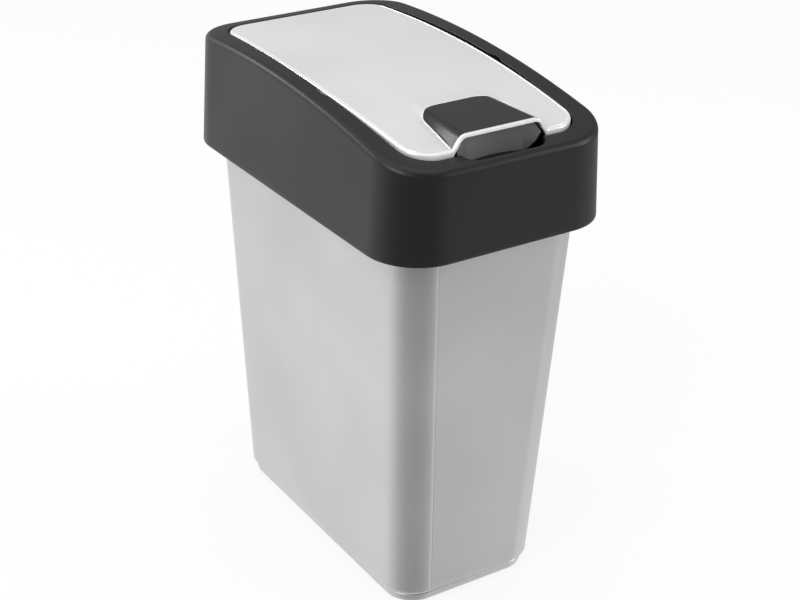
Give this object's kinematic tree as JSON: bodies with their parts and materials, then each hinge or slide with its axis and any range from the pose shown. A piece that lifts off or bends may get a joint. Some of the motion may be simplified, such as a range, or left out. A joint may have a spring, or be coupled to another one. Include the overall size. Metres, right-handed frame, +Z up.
{
  "type": "flip-lid trash can",
  "caption": "Slim tapered bin with a lift-off collar, a curved lid that tips on side pivots and a push latch under its front hood.",
  "frame": {"origin": "on the floor, under the middle of the bin", "axes": "+Z up, the front with the finger recess faces -Y, +X across the bin along the lid's pivot line"},
  "size_m": [0.168, 0.28, 0.3549],
  "materials": {
    "body_silver": "silver metallic plastic, satin",
    "lid_silver": "light silver lacquer, satin",
    "frame_dark": "fine spark-eroded texture, matt",
    "insert_dark": "smooth satin",
    "button_gloss": "smooth gloss",
    "pin_plastic": "natural slide plastic, satin",
    "steel": "bright drawn"
  },
  "bodies": {
    "bin": {"bin_body": "body_silver"},
    "frame": {"lid_frame": "frame_dark", "latch_carrier": "frame_dark", "button_axle": "steel", "button_spring": "steel"},
    "lid": {"lid_cover": "lid_silver", "lid_liner": "frame_dark", "hood_insert": "insert_dark", "pivot_pin_left": "pin_plastic", "pivot_pin_right": "pin_plastic"},
    "button": {"release_button": "button_gloss"}
  },
  "joints": [
    {"name": "frame_lift", "type": "slide", "parent": "bin", "child": "frame", "axis": [0, 0, 1], "range_m": [0, 0.12]},
    {"name": "lid_flip", "type": "hinge", "parent": "frame", "child": "lid", "pos_m": [0, -0.0216, 0.341], "axis": [-1, 0, 0], "range_deg": [0, 70]},
    {"name": "button_press", "type": "hinge", "parent": "frame", "child": "button", "pos_m": [0, -0.116, 0.312], "axis": [-1, 0, 0], "range_deg": [0, 5], "stiffness_Nm_per_rad": 0.5, "springref_deg": -5.73, "deforming": ["button_spring"]}
  ]
}
